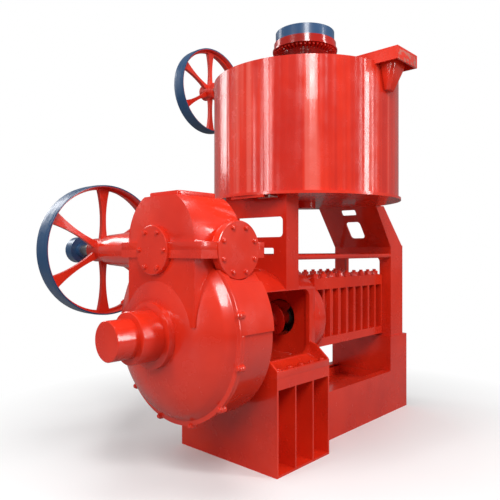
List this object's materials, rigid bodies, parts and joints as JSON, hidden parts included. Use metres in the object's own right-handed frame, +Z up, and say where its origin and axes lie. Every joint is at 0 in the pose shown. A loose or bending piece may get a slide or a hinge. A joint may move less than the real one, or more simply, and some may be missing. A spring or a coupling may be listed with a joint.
{
  "type": "screw oil press",
  "caption": "Screw oil press with a geared drive, a slotted pressing barrel with a worm shaft, and a stirred steam kettle above on a welded base.",
  "frame": {"origin": "centre of the foundation bolt pattern on the floor", "axes": "+X along the main shaft towards the cake end, +Y towards the belt pulleys, +Z up"},
  "size_m": [2.455, 1.898, 2.732],
  "materials": {
    "red_enamel": "glossy orange-red enamel over cast and welded iron",
    "pulley_enamel": "glossy steel-blue enamel",
    "machined_steel": "turned steel with an oil film",
    "gear_iron": "dark cast iron, oiled",
    "bearing_bronze": "turned bronze",
    "hardened_bars": "hardened flat bar, dull"
  },
  "bodies": {
    "press_frame": {"base_frame": "red_enamel", "pedestal_near": "red_enamel", "pedestal_far": "red_enamel", "oil_tray": "red_enamel", "feed_yoke": "red_enamel", "cage_upper": "red_enamel", "cage_lower": "red_enamel", "cage_bolts_near": "red_enamel", "cage_bolts_far": "red_enamel", "lining_bars": "hardened_bars", "rear_frame": "red_enamel", "main_bushes": "bearing_bronze", "front_cover": "red_enamel", "gear_case_lower": "red_enamel", "gear_case_upper": "red_enamel", "gearbox_hood": "red_enamel", "hood_lid": "red_enamel", "flange_cap": "red_enamel", "front_bearing_cap": "red_enamel", "cap_bolts": "red_enamel", "case_bolts": "red_enamel", "bearing_sleeve": "red_enamel", "drive_bearings": "bearing_bronze", "counter_bearings": "bearing_bronze", "thrust_housing": "red_enamel", "nose_cap": "red_enamel", "kettle_shell": "red_enamel", "kettle_floor": "red_enamel", "gate_guide": "red_enamel", "front_leg": "red_enamel", "rear_leg": "red_enamel", "tie_rods": "red_enamel", "top_beam": "red_enamel", "beam_bracket_near": "red_enamel", "beam_bracket_far": "red_enamel", "shaft_bearings": "red_enamel", "stirrer_bearing": "red_enamel", "foot_step": "red_enamel", "foot_bolts": "red_enamel", "rear_bolts": "red_enamel"},
    "drive_train": {"drive_shaft": "machined_steel", "drive_pulley": "pulley_enamel", "takeoff_pulley": "pulley_enamel", "drive_pinion": "gear_iron"},
    "counter_train": {"counter_shaft": "machined_steel", "spur_pinion": "gear_iron", "bevel_wheel": "gear_iron"},
    "worm_train": {"main_shaft": "machined_steel", "thrust_collar": "gear_iron", "worm_segments": "gear_iron", "worm_collars": "gear_iron", "main_gear": "gear_iron"},
    "cross_train": {"cross_shaft": "machined_steel", "kettle_pulley": "pulley_enamel", "crown_pinion": "gear_iron"},
    "stirrer": {"stirrer_shaft": "machined_steel", "stirrer_arms": "red_enamel", "crown_wheel": "red_enamel", "drum_ring": "pulley_enamel"},
    "gate": {"outlet_gate": "machined_steel"}
  },
  "joints": [
    {"name": "drive_shaft_turn", "type": "hinge", "parent": "press_frame", "child": "drive_train", "pos_m": [-1.1, 0, 1.18], "axis": [0, 1, 0], "continuous": true},
    {"name": "counter_shaft_turn", "type": "hinge", "parent": "press_frame", "child": "counter_train", "pos_m": [-1.1, 0, 1.18], "axis": [1, 0, 0], "continuous": true},
    {"name": "main_shaft_turn", "type": "hinge", "parent": "press_frame", "child": "worm_train", "pos_m": [-1.1, 0, 0.76], "axis": [1, 0, 0], "continuous": true},
    {"name": "cross_shaft_turn", "type": "hinge", "parent": "press_frame", "child": "cross_train", "pos_m": [-0.104, 0, 2.412], "axis": [0, 1, 0], "continuous": true},
    {"name": "stirrer_turn", "type": "hinge", "parent": "press_frame", "child": "stirrer", "pos_m": [-0.104, 0, 2.412], "axis": [0, 0, 1], "continuous": true},
    {"name": "outlet_gate_slide", "type": "slide", "parent": "press_frame", "child": "gate", "axis": [0, -1, 0], "range_m": [0, 0.128]}
  ],
  "couplings": [
    {"joint": "counter_shaft_turn", "follows": "drive_shaft_turn", "ratio": -0.36842},
    {"joint": "main_shaft_turn", "follows": "drive_shaft_turn", "ratio": 0.092105},
    {"joint": "stirrer_turn", "follows": "cross_shaft_turn", "ratio": -0.3125}
  ]
}
